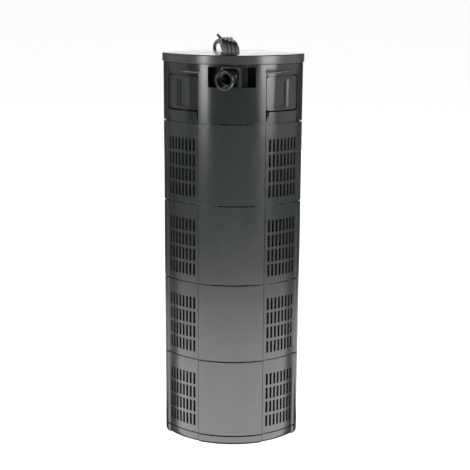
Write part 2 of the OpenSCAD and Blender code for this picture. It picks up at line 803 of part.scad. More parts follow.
// The hank's own frame: it lies on the lid and is turned a little to the left
module on_hank() {
    translate([hank_x, hank_front, hank_z]) rotate([0, 0, hank_turn]) children();
}

module hank_outline(o) {
    r = hank_h / 2;
    translate([r, -o]) square([hank_l - 2 * r, hank_h + 2 * o]);
    for (y = [r, hank_l - r]) translate([y, r]) circle(r + o);
}

module cord_hank() {
    color([0.07, 0.07, 0.07]) on_hank() translate([-hank_w / 2, 0, 0]) rotate([90, 0, 90])
        linear_extrude(hank_w) hank_outline(0);
}

// Flat wire tie with its twisted end standing up at the left
module cord_tie() {
    place = hank_l * 0.45;
    color([0.12, 0.12, 0.12]) on_hank() {
        difference() {
            translate([-hank_w / 2 - tie_t, place, -tie_t]) cube([hank_w + 2 * tie_t, tie_l, hank_h + 2 * tie_t]);
            translate([-hank_w / 2, place - 1, 0]) cube([hank_w, tie_l + 2, hank_h]);
        }
        translate([-hank_w / 2 - tie_t, place + 1, hank_h]) cube([3, 2.4, 3.4]);
    }
}

module plug_body() {
    color([0.06, 0.06, 0.06]) translate([plug_x, plug_y + plug_t / 2, plug_top]) rotate([90, 0, 0])
        linear_extrude(plug_t) polygon([
            [-plug_neck / 2, 0], [-plug_w / 2, -plug_l * 0.62], [-plug_w / 2 + 1.5, -plug_l],
            [plug_w / 2 - 1.5, -plug_l], [plug_w / 2, -plug_l * 0.62], [plug_neck / 2, 0]
        ]);
}

module plug_pins() {
    color([0.78, 0.78, 0.76]) for (side = [-1, 1])
        translate([plug_x + side * prong_gap / 2, plug_y, plug_top - plug_l - prong_l]) {
            translate([0, 0, 1]) cylinder(r = prong_r, h = prong_l - 1);
            cylinder(r1 = prong_r - 1, r2 = prong_r, h = 1);
        }
}

base_tray();
filter_module(1);  // module_1
filter_module(2);  // module_2
filter_module(3);  // module_3
filter_module(4);  // module_4
core(1);  // core_1
core(2);  // core_2
core(3);  // core_3
core(4);  // core_4
core_seal(1);  // core_seal_1
core_seal(2);  // core_seal_2
core_seal(3);  // core_seal_3
core_seal(4);  // core_seal_4
foam(1);  // foam_1
foam(2);  // foam_2
foam(3);  // foam_3
foam(4);  // foam_4
head_housing();
lid();
pump_chamber();
chamber_seal();
impeller();
rotor_magnet();
rotor_shaft();
shaft_bush_upper();
shaft_bush_lower();
motor_block();
motor_screws();
outlet_socket();
outlet_duct();
turret();
spout();
mirror([1, 0, 0]) latch();  // latch_left
latch();  // latch_right
mirror([1, 0, 0]) latch_pin();  // latch_pin_left
latch_pin();  // latch_pin_right
mirror([1, 0, 0]) latch_spring();  // latch_spring_left
latch_spring();  // latch_spring_right
wall_cups(head_z + head_h / 2);  // wall_cups_upper
wall_cups(base_h + module_h / 2);  // wall_cups_lower
cord_gland();
cord_lead();
cord_hank();
cord_tie();
cord_tail();
plug_body();
plug_pins();
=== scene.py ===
import json
import math

import bmesh
import bpy
from mathutils import Matrix, Vector


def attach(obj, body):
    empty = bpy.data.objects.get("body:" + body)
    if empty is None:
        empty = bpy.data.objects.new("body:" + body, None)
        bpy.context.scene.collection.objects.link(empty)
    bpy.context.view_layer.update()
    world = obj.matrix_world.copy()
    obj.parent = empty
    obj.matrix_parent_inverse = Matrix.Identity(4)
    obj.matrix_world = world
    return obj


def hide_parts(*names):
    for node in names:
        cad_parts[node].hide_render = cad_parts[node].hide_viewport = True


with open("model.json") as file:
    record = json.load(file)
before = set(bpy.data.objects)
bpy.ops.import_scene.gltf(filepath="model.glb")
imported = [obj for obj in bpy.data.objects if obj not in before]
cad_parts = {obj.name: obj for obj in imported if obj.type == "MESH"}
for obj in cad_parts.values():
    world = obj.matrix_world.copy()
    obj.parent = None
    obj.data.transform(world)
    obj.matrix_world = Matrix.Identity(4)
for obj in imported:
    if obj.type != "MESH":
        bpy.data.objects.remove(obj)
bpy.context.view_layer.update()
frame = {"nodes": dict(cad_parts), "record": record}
MM = 0.001  # the object's sizes are in millimetres; the camera and the lights are in metres

# ---- Camera ----
# A long lens a metre in front of the filter and a little above its lid, looking
# slightly down.

camera = bpy.data.objects.new("camera", bpy.data.cameras.new("camera"))
bpy.context.scene.collection.objects.link(camera)
bpy.context.scene.camera = camera
camera.data.lens = 83.53
camera.location = (0.0263, -0.9462, 0.4118)
camera.rotation_euler = (
    Matrix.Rotation(math.radians(1.45), 3, "Z")
    @ Matrix.Rotation(math.radians(76.49), 3, "X")
    @ Matrix.Rotation(math.radians(0.37), 3, "Z")
).to_euler()

# ---- Power cord ----
# A thin two-core mains cord with a black PVC sheath. It leaves the gland behind the
# head, climbs over the lid's rear edge, is folded into a tied hank on the lid, and
# ends in its plug, which hangs down behind the head.


class Flow:
    """One output of a node. Sums, products and comparisons of flows add Math nodes."""

    def __init__(self, tree, socket):
        self.tree = tree
        self.socket = socket

    def node(self, kind, settings=None, inputs=None, output=0):
        made = self.tree.nodes.new(kind)
        for name, value in (settings or {}).items():
            if name == "stops":
                ramp = made.color_ramp
                while len(ramp.elements) < len(value):
                    ramp.elements.new(0.5)
                for stop, (place, grey) in zip(ramp.elements, value):
                    stop.position = place
                    stop.color = (grey, grey, grey, 1)
            else:
                setattr(made, name, value)
        for key, value in (inputs or {}).items():
            if isinstance(value, Flow):
                self.tree.links.new(value.socket, made.inputs[key])
            elif value is not None:
                made.inputs[key].default_value = value
        return Flow(self.tree, made.outputs[output])

    def math(self, operation, *values):
        return self.node("ShaderNodeMath", {"operation": operation}, dict(enumerate(values)))

    def __add__(self, other):
        return self.math("ADD", self, other)

    def __sub__(self, other):
        return self.math("SUBTRACT", self, other)

    def __rsub__(self, other):
        return self.math("SUBTRACT", other, self)

    def __mul__(self, other):
        return self.math("MULTIPLY", self, other)

    def __truediv__(self, other):
        return self.math("DIVIDE", self, other)

    def __lt__(self, other):
        return self.math("LESS_THAN", self, other)

    def __gt__(self, other):
        return self.math("GREATER_THAN", self, other)

    def __abs__(self):
        return self.math("ABSOLUTE", self)

    __radd__ = __add__
    __rmul__ = __mul__

    def fract(self):
        return self.math("FRACT", self)

    def noise(self, scale, detail=3.0, rough=0.5, stretch=(1, 1, 1)):
        """Noise on this vector, drawn out along the axes whose stretch is under 1."""
        place = self
        if stretch != (1, 1, 1):
            place = self.node("ShaderNodeMapping", None, {"Vector": self, "Scale": stretch})
        return self.node("ShaderNodeTexNoise", None, {
            "Vector": place, "Scale": scale, "Detail": detail, "Roughness": rough})

    def ramp(self, low, high, start=0.0, end=1.0):
        """This value spread from low..high to start..end, and held there outside."""
        return self.node("ShaderNodeMapRange", None, {
            "Value": self, "From Min": low, "From Max": high, "To Min": start, "To Max": end})

    def mix(self, first, second):
        """The colour between two colours that this value says."""
        inputs = {0: self, 6: first, 7: second}
        return self.node("ShaderNodeMix", {"data_type": "RGBA"}, inputs, 2)

    def bump(self, strength, distance, under=None):
        return self.node("ShaderNodeBump", None, {
            "Height": self, "Strength": strength, "Distance": distance, "Normal": under})


def finish(name, colour=None, rough=None, normal=None, glow=None, **constants):
    """A new material: varying colour, roughness and normal, and plain numbers for the rest."""
    material = bpy.data.materials.new(name)
    material.use_nodes = True
    tree = material.node_tree
    shader = tree.nodes["Principled BSDF"]
    for socket, value in constants.items():
        shader.inputs[socket.replace("_", " ")].default_value = value
    place = Flow(tree, tree.nodes.new("ShaderNodeTexCoord").outputs["Object"])
    varying = {"Base Color": colour, "Roughness": rough, "Normal": normal, "Emission Color": glow}
    for socket, make in varying.items():
        if make is not None:
            tree.links.new(make(place).socket, shader.inputs[socket])
    return material


def shade(grey, tint=(1, 1, 1)):
    """A colour from a grey and a slight tint."""
    return (grey * tint[0], grey * tint[1], grey * tint[2], 1)


sheath = finish(
    "cord_sheath",
    colour=lambda at: at.noise(160, 4).mix(shade(0.008), shade(0.022, (1, 1, 0.98))),
    rough=lambda at: at.noise(420, 3).ramp(0.3, 0.7, 0.42, 0.56),
    normal=lambda at: at.noise(2600, 2).bump(0.25, 0.00006),
)

CORD_WIDTH = 3.1
ROUTE_STEP = 1.3
HANK_LENGTH = 72
HANK_AT = (0.8, -50.0, 346.5)  # where the hank's front end rests on the lid
HANK_TURN = math.radians(5)
HANK_LEAN = 0.25  # how far it leans over for each unit of height
COLUMNS = (-4.7, -1.6, 1.6, 4.7)  # its turns side by side
FRONT_FOLDS = (13.6, 12.7, 11.8, 10.9)  # how high each column's front fold stands
REAR_FOLD_R = 4.1
TIE_PINCH = 0.12  # how much the tie draws the turns together
FOLD_STEPS = 7


def on_hank(x, y, z):
    """A point of the hank's own frame: y runs from its front fold to its back one."""
    cos, sin = math.cos(HANK_TURN), math.sin(HANK_TURN)
    x -= HANK_LEAN * z
    return Vector((HANK_AT[0] + x * cos - y * sin, HANK_AT[1] + x * sin + y * cos, HANK_AT[2] + z))


def hank_turn(column, following, outer, bulge=0.0):
    """One turn: forward along the top, down the front fold, back below and up the rear fold.

    The rear fold leads to the following column, and the last turn has none."""
    x = COLUMNS[column]
    front = FRONT_FOLDS[column] / 2 - CORD_WIDTH / 2
    rear = REAR_FOLD_R
    low = CORD_WIDTH / 2
    if not outer:  # an inner turn lies within the outer one, pressed a little into it
        front, rear, low = front - CORD_WIDTH, rear - CORD_WIDTH + 0.35, low + CORD_WIDTH - 0.2
    near = front + low - 0.2 * column
    far = HANK_LENGTH - rear - low
    wave = 0.35 * math.sin(2.1 * column + (1.3 if outer else 0))

    def pinched(t, waist):
        return x * (1 - TIE_PINCH * math.exp(-((t - waist) / 0.2) ** 2))

    line = []
    for i in range(FOLD_STEPS):
        t = i / (FOLD_STEPS - 1)
        high = low + 2 * (rear + (front - rear) * t) + wave * math.sin(math.pi * t)
        line.append((pinched(t, 0.52), far + (near - far) * t, high))
    for i in range(1, FOLD_STEPS):
        a = math.pi * i / FOLD_STEPS
        line.append((x + 0.25 * math.sin(a), near - front * math.sin(a), low + front + front * math.cos(a)))
    for i in range(FOLD_STEPS):
        t = i / (FOLD_STEPS - 1)
        line.append((pinched(t, 0.48), near + (far - near) * t, low))
    if following is not None:
        for i in range(1, FOLD_STEPS):
            a = math.pi * i / FOLD_STEPS
            across = x + (COLUMNS[following] - x) * (1 - math.cos(a)) / 2
            out = (rear + bulge * math.sin(a)) * math.sin(a)
            line.append((across, far + out, low + rear - rear * math.cos(a)))
    return [on_hank(*p) for p in line]


lead = [Vector(p) for p in (
    (-18, 45.8, 340.5), (-18, 45.8, 343), (-18.2, 45.4, 346.2), (-17.8, 43.4, 349.2), (-16.7, 40, 351.6),
    (-15.3, 35.6, 353), (-14, 31, 353.6), (-12.6, 26.4, 353.8), (-11, 21.5, 353.9),
)] + [on_hank(-7.7, 66, 7.4), on_hank(-7.5, 61, 7.4), on_hank(-6.2, 56, 7.6)]
winding = []
for column, following in ((0, 1), (1, 2), (2, 3), (3, 3)):
    winding += hank_turn(column, following, outer=False)
winding = winding[2:]
for column, following, bulge in ((3, 2, 0.0), (2, 0, 0.0), (0, 1, 3.2), (1, None, 0.0)):
    winding += hank_turn(column, following, outer=True, bulge=bulge)
tail = [Vector(p) for p in (
    (-4.9, 21.5, 348.4), (-3.5, 25.5, 348.1), (-1.6, 30.5, 348.3), (0.6, 36, 348.6), (2, 41, 347.6),
    (2.8, 45.2, 344.6), (3, 47.6, 340), (3, 48.4, 334), (3, 48.5, 326), (3, 48.5, 316), (3, 48.5, 307),
    (3, 48.5, 300),
)]


def smooth_line(points, spacing):
    """A smooth curve through the points, at an even spacing."""
    dense = []
    for i in range(len(points) - 1):
        a, b = points[max(i - 1, 0)], points[i]
        c, d = points[i + 1], points[min(i + 2, len(points) - 1)]
        for k in range(12):
            t = k / 12
            dense.append(0.5 * (2 * b + (c - a) * t + (2 * a - 5 * b + 4 * c - d) * t * t
                                + (3 * b - a - 3 * c + d) * t ** 3))
    dense.append(points[-1])
    length, even, want = 0.0, [dense[0]], spacing
    for a, b in zip(dense, dense[1:]):
        piece = (b - a).length
        while want <= length + piece and piece > 0:
            even.append(a + (b - a) * ((want - length) / piece))
            want += spacing
        length += piece
    return even[:-1] + [dense[-1]], length


route, cord_length = smooth_line(lead + winding + tail, ROUTE_STEP)
cord_curve = bpy.data.curves.new("power_cord", "CURVE")
cord_curve.dimensions = "3D"
cord_curve.bevel_depth = CORD_WIDTH / 2 * MM
cord_curve.bevel_resolution = 4
cord_curve.use_fill_caps = True
spline = cord_curve.splines.new("POLY")
spline.points.add(len(route) - 1)
for point, place in zip(spline.points, route):
    point.co = (*(place * MM), 1)
spline.use_smooth = True
cord = bpy.data.objects.new("power_cord", cord_curve)
bpy.context.scene.collection.objects.link(cord)
cord_curve.materials.append(sheath)
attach(cord, "head")
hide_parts("cord_lead", "cord_hank", "cord_tail")


def from_cad(name, node, width, segments=2, angle=35, flat=1.0):
    """A copy of a CAD node with its flat faces whole again and its edges rounded."""
    piece = bpy.data.objects.new(name, frame["nodes"][node].data.copy())
    bpy.context.scene.collection.objects.link(piece)
    form = bmesh.new()
    form.from_mesh(piece.data)
    bmesh.ops.remove_doubles(form, verts=form.verts, dist=2e-6)
    bmesh.ops.dissolve_limit(form, angle_limit=math.radians(flat), verts=form.verts, edges=form.edges)
    form.to_mesh(piece.data)
    form.free()
    piece.data.materials.clear()
    round_edges(piece, width, segments, angle)
    return piece


def round_edges(piece, width, segments=2, angle=35):
    """Rounds a piece's sharp edges and smooths what is left."""
    for name in ("sharp_face", "sharp_edge", "custom_normal"):
        if name in piece.data.attributes:
            piece.data.attributes.remove(piece.data.attributes[name])
    piece.data.shade_smooth()
    bevel = piece.modifiers.new("rounded edges", "BEVEL")
    bevel.width = width * MM
    bevel.segments = segments
    bevel.limit_method = "ANGLE"
    bevel.angle_limit = math.radians(angle)
    bevel.harden_normals = True
    bevel.use_clamp_overlap = True
    bevel.miter_outer = "MITER_ARC"


plug_black = finish(
    "plug_plastic",
    colour=lambda at: at.noise(90, 4).mix(shade(0.016), shade(0.034)),
    rough=lambda at: at.noise(300, 3).ramp(0.3, 0.7, 0.38, 0.52),
    normal=lambda at: at.noise(2200, 3).bump(0.35, 0.00008),
)
plug = from_cad("plug", "plug_body", 1.6, 4)
plug.data.materials.append(plug_black)
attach(plug, "head")
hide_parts("plug_body")

gland = from_cad("cord_relief", "cord_gland", 0.5, 3)
gland.data.materials.append(finish(
    "gland_rubber",
    colour=lambda at: at.noise(120, 4).mix(shade(0.012), shade(0.028)),
    rough=lambda at: at.noise(300, 3).ramp(0.3, 0.7, 0.45, 0.6),
    normal=lambda at: (at.node("ShaderNodeTexWave", {"bands_direction": "Z"}, {
        "Vector": at, "Scale": 130.0})).bump(0.6, 0.0003),
))
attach(gland, "head")
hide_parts("cord_gland")

# ---- Wire tie ----
# A flat black twist tie: plastic ribbon over a soft wire, wrapped once round the hank
# and twisted at the upper left, where its two ends stand up.

tie_black = finish(
    "tie_plastic",
    colour=lambda at: at.noise(200, 3).mix(shade(0.03), shade(0.06)),
    rough=lambda at: at.noise(500, 2).ramp(0.3, 0.7, 0.4, 0.55),
    normal=lambda at: at.noise(1800, 2).bump(0.3, 0.00008),
)


def ribbon(form, line, width, thick, across):
    """A flat strip along a line of points, as wide as given along the vector across."""
    rings = []
    for i, p in enumerate(line):
        along = (line[min(i + 1, len(line) - 1)] - line[max(i - 1, 0)]).normalized()
        side = (across - along * across.dot(along)).normalized()
        up = along.cross(side)
        rings.append([form.verts.new((p + side * s * width / 2 + up * u * thick / 2) * MM)
                      for s, u in ((-1, -1), (1, -1), (1, 1), (-1, 1))])
    for a, b in zip(rings, rings[1:]):
        for k in range(4):
            form.faces.new((a[k], a[(k + 1) % 4], b[(k + 1) % 4], b[k]))
    form.faces.new(rings[0][::-1])
    form.faces.new(rings[-1])


TIE_PLACE = 35  # behind the hank's front fold
TIE_HALF = 6.1
TIE_TOP = 12.4
TIE_SQUARE = 0.45  # 1 would make the loop an ellipse, and less makes it squarer
TIE_WIDTH = 4.2
TIE_THICK = 0.7
END_WIDTH = 2.6
along_hank = on_hank(0, 1, 0) - on_hank(0, 0, 0)
form = bmesh.new()
loop = []
for i in range(49):
    a = 2 * math.pi * i / 48
    x = TIE_HALF * math.copysign(abs(math.cos(a)) ** TIE_SQUARE, math.cos(a))
    half_high = (TIE_TOP - 0.13 * (x + TIE_HALF)) / 2
    z = half_high + half_high * math.copysign(abs(math.sin(a)) ** TIE_SQUARE, math.sin(a))
    loop.append(on_hank(x, TIE_PLACE + 0.8 * math.sin(a), z))
ribbon(form, loop, TIE_WIDTH, TIE_THICK, along_hank)
for lean, rise in ((0.8, 3.0), (-0.9, 2.2)):
    end = [on_hank(-5.2 + lean * 0.3, TIE_PLACE, TIE_TOP - 0.6),
           on_hank(-6.0, TIE_PLACE - 0.4 + lean, TIE_TOP + 0.8),
           on_hank(-7.3 + lean * 0.4, TIE_PLACE - 1 + 2 * lean, TIE_TOP + rise)]
    ribbon(form, smooth_line(end, 0.5)[0], END_WIDTH, TIE_THICK, on_hank(1, 1.4, 0) - on_hank(0, 0, 0))
bmesh.ops.recalc_face_normals(form, faces=form.faces)
tie = bpy.data.objects.new("wire_tie", bpy.data.meshes.new("wire_tie"))
form.to_mesh(tie.data)
form.free()
bpy.context.scene.collection.objects.link(tie)
tie.data.materials.append(tie_black)
round_edges(tie, 0.15, 2)
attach(tie, "head")
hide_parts("cord_tie")
round(cord_length * MM, 3)

# ---- Base tray ----
# A shallow moulded tray of dark grey plastic on which the stack stands. Its lower edge
# is turned in, and the lowest module sits over the low collar on its top.

BODY_WIDTH = 120
CORNER_R = 8
CORNER_BACK = 34.3  # the corners' centres behind the middle of the front
REAR_FLAT = 35.3
REAR_R = 12
SKIN = 3.4
PANEL_HALF = 28.4  # half the width of the plain panel in the middle of the front
RECESS = 1.2  # how far the side panels are sunk
RECESS_WIDTH = 35.6
STEP_SLOPE = 1.3
GROOVE_WIDTH = 0.8  # the upright groove between the front and side panels
GROOVE_DEPTH = 2.5
SEAM_HALF = 0.6  # half the height of the groove between two stacked pieces
SEAM_LIP = 0.02
SEAM_DEEP = 2.0
SPIGOT_OUT = 3.7  # the collar's outer and inner faces, in from the outline
SPIGOT_IN = 5.2
SPIGOT_RISE = 5.2
SPIGOT_CHAMFER = 0.5
PUMP_BACK = 48  # the pump's axis behind the middle of the front
BASE_HEIGHT = 8.5
MODULE_HEIGHT = 70
HEAD_HEIGHT = 49.5
LID_HEIGHT = 7.8
corner_x = BODY_WIDTH / 2 - CORNER_R
front_y = -(corner_x + CORNER_BACK + CORNER_R * math.sqrt(2) - REAR_FLAT / 2) / 2
corner_y = front_y + CORNER_BACK
front_r = (corner_x ** 2 + CORNER_BACK ** 2 - CORNER_R ** 2) / (2 * (CORNER_BACK - CORNER_R))
arc_y = front_y + front_r
tangent = math.atan2(corner_x, arc_y - corner_y)
rear_cy = -front_y - REAR_R
rear_cx = corner_x + corner_y + CORNER_R * math.sqrt(2) - rear_cy - REAR_R * math.sqrt(2)
panel = math.asin(PANEL_HALF / front_r)
side = panel + RECESS_WIDTH / front_r
latch_mid = (panel + side) / 2
pump_y = front_y + PUMP_BACK
head_z = BASE_HEIGHT + 4 * MODULE_HEIGHT
lid_z = head_z + HEAD_HEIGHT
top_z = lid_z + LID_HEIGHT


def spread(start, end, parts):
    """Evenly spaced values from start to end, both included."""
    return [start + (end - start) * i / parts for i in range(parts + 1)]


def right_half(marks=()):
    """Columns of the right half of the outline, from the front's middle to the rear's.

    Each is a circle's centre, an angle on it, its radius, and 1 where the side panel is sunk."""
    front = [(0, arc_y, a, front_r, 0) for a in spread(0, panel, 16)]
    start = panel + (GROOVE_WIDTH + 0.1) / front_r
    sunk = sorted({round(a, 7) for a in [*spread(start, side, 18), *marks]})
    clear = [a for a in sunk if a in (sunk[0], sunk[-1])
             or any(abs(a - m) < 1e-6 for m in marks) or all(abs(a - m) > 0.007 for m in marks)]
    front += [(0, arc_y, a, front_r, GROOVE_DEPTH / RECESS) for a in (panel, panel + GROOVE_WIDTH / front_r)]
    front += [(0, arc_y, a, front_r, 1) for a in clear]
    front += [(0, arc_y, a, front_r, 0) for a in spread(side + STEP_SLOPE / front_r, tangent, 2)]
    corner = [(corner_x, corner_y, a, CORNER_R, 0) for a in spread(tangent, math.radians(135), 14)[1:]]
    wall = [(corner_x + (rear_cx - corner_x) * t, corner_y + (rear_cy - corner_y) * t, math.radians(135),
             CORNER_R + (REAR_R - CORNER_R) * t, 0) for t in spread(0, 1, 8)[1:]]
    rear = [(rear_cx, rear_cy, a, REAR_R, 0) for a in spread(math.radians(135), math.pi, 8)[1:]]
    return front + corner + wall + rear


def whole_outline(half):
    """The right half and its mirror image, once round from the front's middle."""
    return [(*c, 1) for c in half] + [(*c, -1) for c in half[::-1] if not (c[0] == 0 and c[2] == 0)]


def on_outline(column, inset, z, sink=0.0, swing=0.0):
    """A point in from the outline by an inset, and by the recess where sink is 1."""
    x, y, angle, radius, sunk, hand = column
    r = radius - inset - RECESS * sunk * sink
    a = angle + swing
    return Vector((hand * (x + r * math.sin(a)), y - r * math.cos(a), z)) * MM


def join_loops(form, low, high):
    """Faces between two closed loops of as many points."""
    for i in range(len(low)):
        k = (i + 1) % len(low)
        form.faces.new((low[i], low[k], high[k], high[i]))


def band(form, outline, profile, caps=None):
    """Faces round the outline for a profile of (inset, z, sink).

    The given rings are filled. Where no caps are given, the profile closes on itself."""
    rings = [[form.verts.new(on_outline(c, inset, z, sink)) for c in outline] for inset, z, sink in profile]
    pairs = list(zip(rings, rings[1:]))
    if caps is None:
        pairs.append((rings[-1], rings[0]))
    for low, high in pairs:
        join_loops(form, low, high)
    for end in caps or ():
        form.faces.new(rings[end])


def circle(x, y, r, sides=40):
    """The points of a circle, in metres."""
    angles = [2 * math.pi * i / sides for i in range(sides)]
    return [((x + r * math.cos(a)) * MM, (y + r * math.sin(a)) * MM) for a in angles]


def upright(form, loop, z0, z1):
    """A wall that stands on a loop of points, and the rings of its two ends."""
    low, high = [[form.verts.new((x, y, z * MM)) for x, y in loop] for z in (z0, z1)]
    join_loops(form, low, high)
    return low, high


def piece_of(name, form, material):
    """Turns a form into a piece of the scene, with its faces pointing outwards."""
    bmesh.ops.remove_doubles(form, verts=form.verts, dist=1e-6)
    bmesh.ops.dissolve_degenerate(form, dist=1e-7, edges=form.edges)
    bmesh.ops.recalc_face_normals(form, faces=form.faces)
    piece = bpy.data.objects.new(name, bpy.data.meshes.new(name))
    form.to_mesh(piece.data)
    form.free()
    bpy.context.scene.collection.objects.link(piece)
    piece.data.materials.append(material)
    return piece


def moulded(name, dark, light, gloss, edge=0.0):
    """Dark moulded plastic: a fine spark-eroded grain, faint flow marks and rubbed seams."""
    def rubbed(at):
        height = at.node("ShaderNodeSeparateXYZ", None, {0: at}, 2)
        from_seam = abs(((height - BASE_HEIGHT * MM) / (MODULE_HEIGHT * MM) + 0.5).fract() - 0.5)
        wear = from_seam.ramp(0.004, 0.022, 1.0, 0.0)
        return wear * at.noise(240, 4).ramp(0.42, 0.66)

    def colour(at):
        cloud = at.noise(22, 4, 0.6)
        flow = at.noise(60, 3, 0.5, (1, 1, 0.12))
        base = (cloud * 0.65 + flow * 0.35).ramp(0.3, 0.7).mix(dark, light)
        pale = tuple(min(1, c * 1.6 + 0.004) for c in light[:3]) + (1,)
        return (rubbed(at) * edge).mix(base, pale)

    def rough(at):
        smears = at.noise(35, 4, 0.6, (1, 1, 0.5)).ramp(0.35, 0.7, -0.025, 0.04)
        return smears + gloss + rubbed(at) * 0.12 + at.noise(900, 2).ramp(0.3, 0.7, -0.02, 0.02)

    def normal(at):
        grain = at.noise(3600, 2, 0.6).bump(0.08, 0.00002)
        return at.noise(26, 2, 0.4).bump(0.10, 0.0003, grain)
    return finish(name, colour, rough, normal, IOR=1.5)


HOUSING_TINT = (0.86, 1, 0.97)
TRAY_FLOOR = 3
POST_R = 7.7
housing = moulded("dark_housing", shade(0.013, HOUSING_TINT), shade(0.018, HOUSING_TINT), 0.22, 0.3)
plain_outline = whole_outline(right_half())
turned_in = [(6.0, 0.4, 1), (2.2, 0, 1), (1.5, 0.25, 1), (0.75, 1.0, 1), (0.25, 2.0, 1), (0.0, 3.2, 1)]
seam = [(0, BASE_HEIGHT - SEAM_HALF, 1), (SEAM_DEEP, BASE_HEIGHT - SEAM_HALF + SEAM_LIP, 0),
        (SEAM_DEEP, BASE_HEIGHT, 0)]


def spigot(foot, floor_z):
    """The profile of a collar on a flat foot, from its outside over its top to a floor inside."""
    top = foot + SPIGOT_RISE
    return [(SPIGOT_OUT, foot, 0), (SPIGOT_OUT, top - SPIGOT_CHAMFER, 0), (SPIGOT_OUT + 0.4, top, 0),
            (SPIGOT_IN, top, 0), (SPIGOT_IN, floor_z, 0)]


form = bmesh.new()
band(form, plain_outline, turned_in + seam + spigot(BASE_HEIGHT, TRAY_FLOOR), caps=(0, -1))
for ring in upright(form, circle(0, pump_y, POST_R, 48), TRAY_FLOOR - 0.1, BASE_HEIGHT + 5.5):
    form.faces.new(ring)
base = piece_of("base", form, housing)
round_edges(base, 0.3)
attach(base, "base")
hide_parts("base_tray")

# ---- Filter modules ----
# Four like shells of dark grey plastic, each a tall ring with a floor. The sunk side
# panels are pierced by 8 columns of 4 upright intake slots, and each shell's collar
# enters the next one up, so that only a thin groove shows at the seam.

SLOT_WIDTH = 2.1
SLOT_HEIGHT = 10.6
SLOT_PITCH = 3.84
ROW_PITCH = 13.15
SLOT_COLUMNS = 8
SLOT_ROWS = 4
FIRST_ROW = 13.3  # below the module's upper seam
GRILLE_SHIFT = 0.8  # away from the middle of the side panel, towards the corner
FLOOR_LOW = 6.2
FLOOR_HIGH = 8.2
CORE_HOLE_R = 10.3
DRAINS = 8
DRAIN_NEAR = 15
DRAIN_FAR = 25
DRAIN_HALF = 1.5


def wall_sheet(outline, levels, open_cell=None, swing=None, rise=None):
    """The outer face of a wall, with the inner face's place and each cell's place stored on it."""
    form = bmesh.new()
    inner = form.verts.layers.float_vector.new("inner")
    along = form.faces.layers.float.new("along")
    depth = form.faces.layers.float.new("depth")
    rings = []
    for j, (z, inset, sink) in enumerate(levels):
        ring = []
        for i, column in enumerate(outline):
            turn = swing(column, z) if swing else 0.0
            height = z + (rise(column, j) if rise else 0.0)
            vert = form.verts.new(on_outline(column, inset, height, sink, turn))
            vert[inner] = on_outline(column, SKIN, height, 0, turn)
            ring.append(vert)
        rings.append(ring)
    count = len(outline)
    for j in range(len(levels) - 1):
        for i in range(count):
            k = (i + 1) % count
            if open_cell and open_cell(outline[i], outline[k], levels[j][0], levels[j + 1][0]):
                continue
            face = form.faces.new((rings[j][i], rings[j][k], rings[j + 1][k], rings[j + 1][i]))
            on_front = outline[i][0] == 0 and outline[k][0] == 0
            mid = (outline[i][2] + outline[k][2]) / 2
            face[along] = (mid - latch_mid) * (front_r - RECESS) - GRILLE_SHIFT if on_front else 999
            face[depth] = levels[-1][0] - (levels[j][0] + levels[j + 1][0]) / 2
    return form


def pierced_wall_tree():
    """Geometry nodes: opens the slots in a wall sheet and gives it its thickness."""
    tree = bpy.data.node_groups.new("pierced_wall", "GeometryNodeTree")
    face = tree.interface
    face.new_socket("Sheet", in_out="INPUT", socket_type="NodeSocketGeometry")
    for name in ("Columns", "Rows", "Column pitch", "Row pitch", "Slot width", "Slot height", "First row"):
        face.new_socket(name, in_out="INPUT", socket_type="NodeSocketFloat")
    face.new_socket("Plastic", in_out="INPUT", socket_type="NodeSocketMaterial")
    face.new_socket("Wall", in_out="OUTPUT", socket_type="NodeSocketGeometry")
    given = tree.nodes.new("NodeGroupInput")
    start = Flow(tree, given.outputs["Sheet"])
    size = {s.name: Flow(tree, s) for s in given.outputs if s.name}

    def stored(name, kind):
        return start.node("GeometryNodeInputNamedAttribute", {"data_type": kind}, {"Name": name})
    along = stored("along", "FLOAT") / size["Column pitch"] + size["Columns"] / 2
    depth = (stored("depth", "FLOAT") - size["First row"]) / size["Row pitch"]
    in_column = abs(along.fract() - 0.5) * size["Column pitch"] * 2 < size["Slot width"]
    in_row = depth.fract() * size["Row pitch"] < size["Slot height"]
    in_grille = (along > 0) * (along < size["Columns"]) * (depth > 0) * (depth < size["Rows"])
    slots = in_column * in_row * in_grille
    opened = start.node(
        "GeometryNodeDeleteGeometry", {"domain": "FACE"}, {"Geometry": start, "Selection": slots})
    pushed = tree.nodes.new("GeometryNodeExtrudeMesh")
    tree.links.new(opened.socket, pushed.inputs["Mesh"])
    pushed.inputs["Offset Scale"].default_value = 0.0
    pushed.inputs["Individual"].default_value = False
    inside = start.node("GeometryNodeSetPosition", None, {
        "Geometry": Flow(tree, pushed.outputs["Mesh"]), "Selection": Flow(tree, pushed.outputs["Top"]),
        "Position": stored("inner", "FLOAT_VECTOR")})
    flipped = start.node("GeometryNodeFlipFaces", None, {"Mesh": opened})
    both = tree.nodes.new("GeometryNodeJoinGeometry")
    tree.links.new(flipped.socket, both.inputs[0])
    tree.links.new(inside.socket, both.inputs[0])
    merged = start.node("GeometryNodeMergeByDistance", None, {
        "Geometry": Flow(tree, both.outputs[0]), "Distance": 0.000002})
    real = start.node("GeometryNodeRealizeInstances", None, {"Geometry": merged})
    coated = start.node("GeometryNodeSetMaterial", None, {"Geometry": real, "Material": size["Plastic"]})
    tree.links.new(coated.socket, tree.nodes.new("NodeGroupOutput").inputs["Wall"])
    return tree


pierced_wall = pierced_wall_tree()


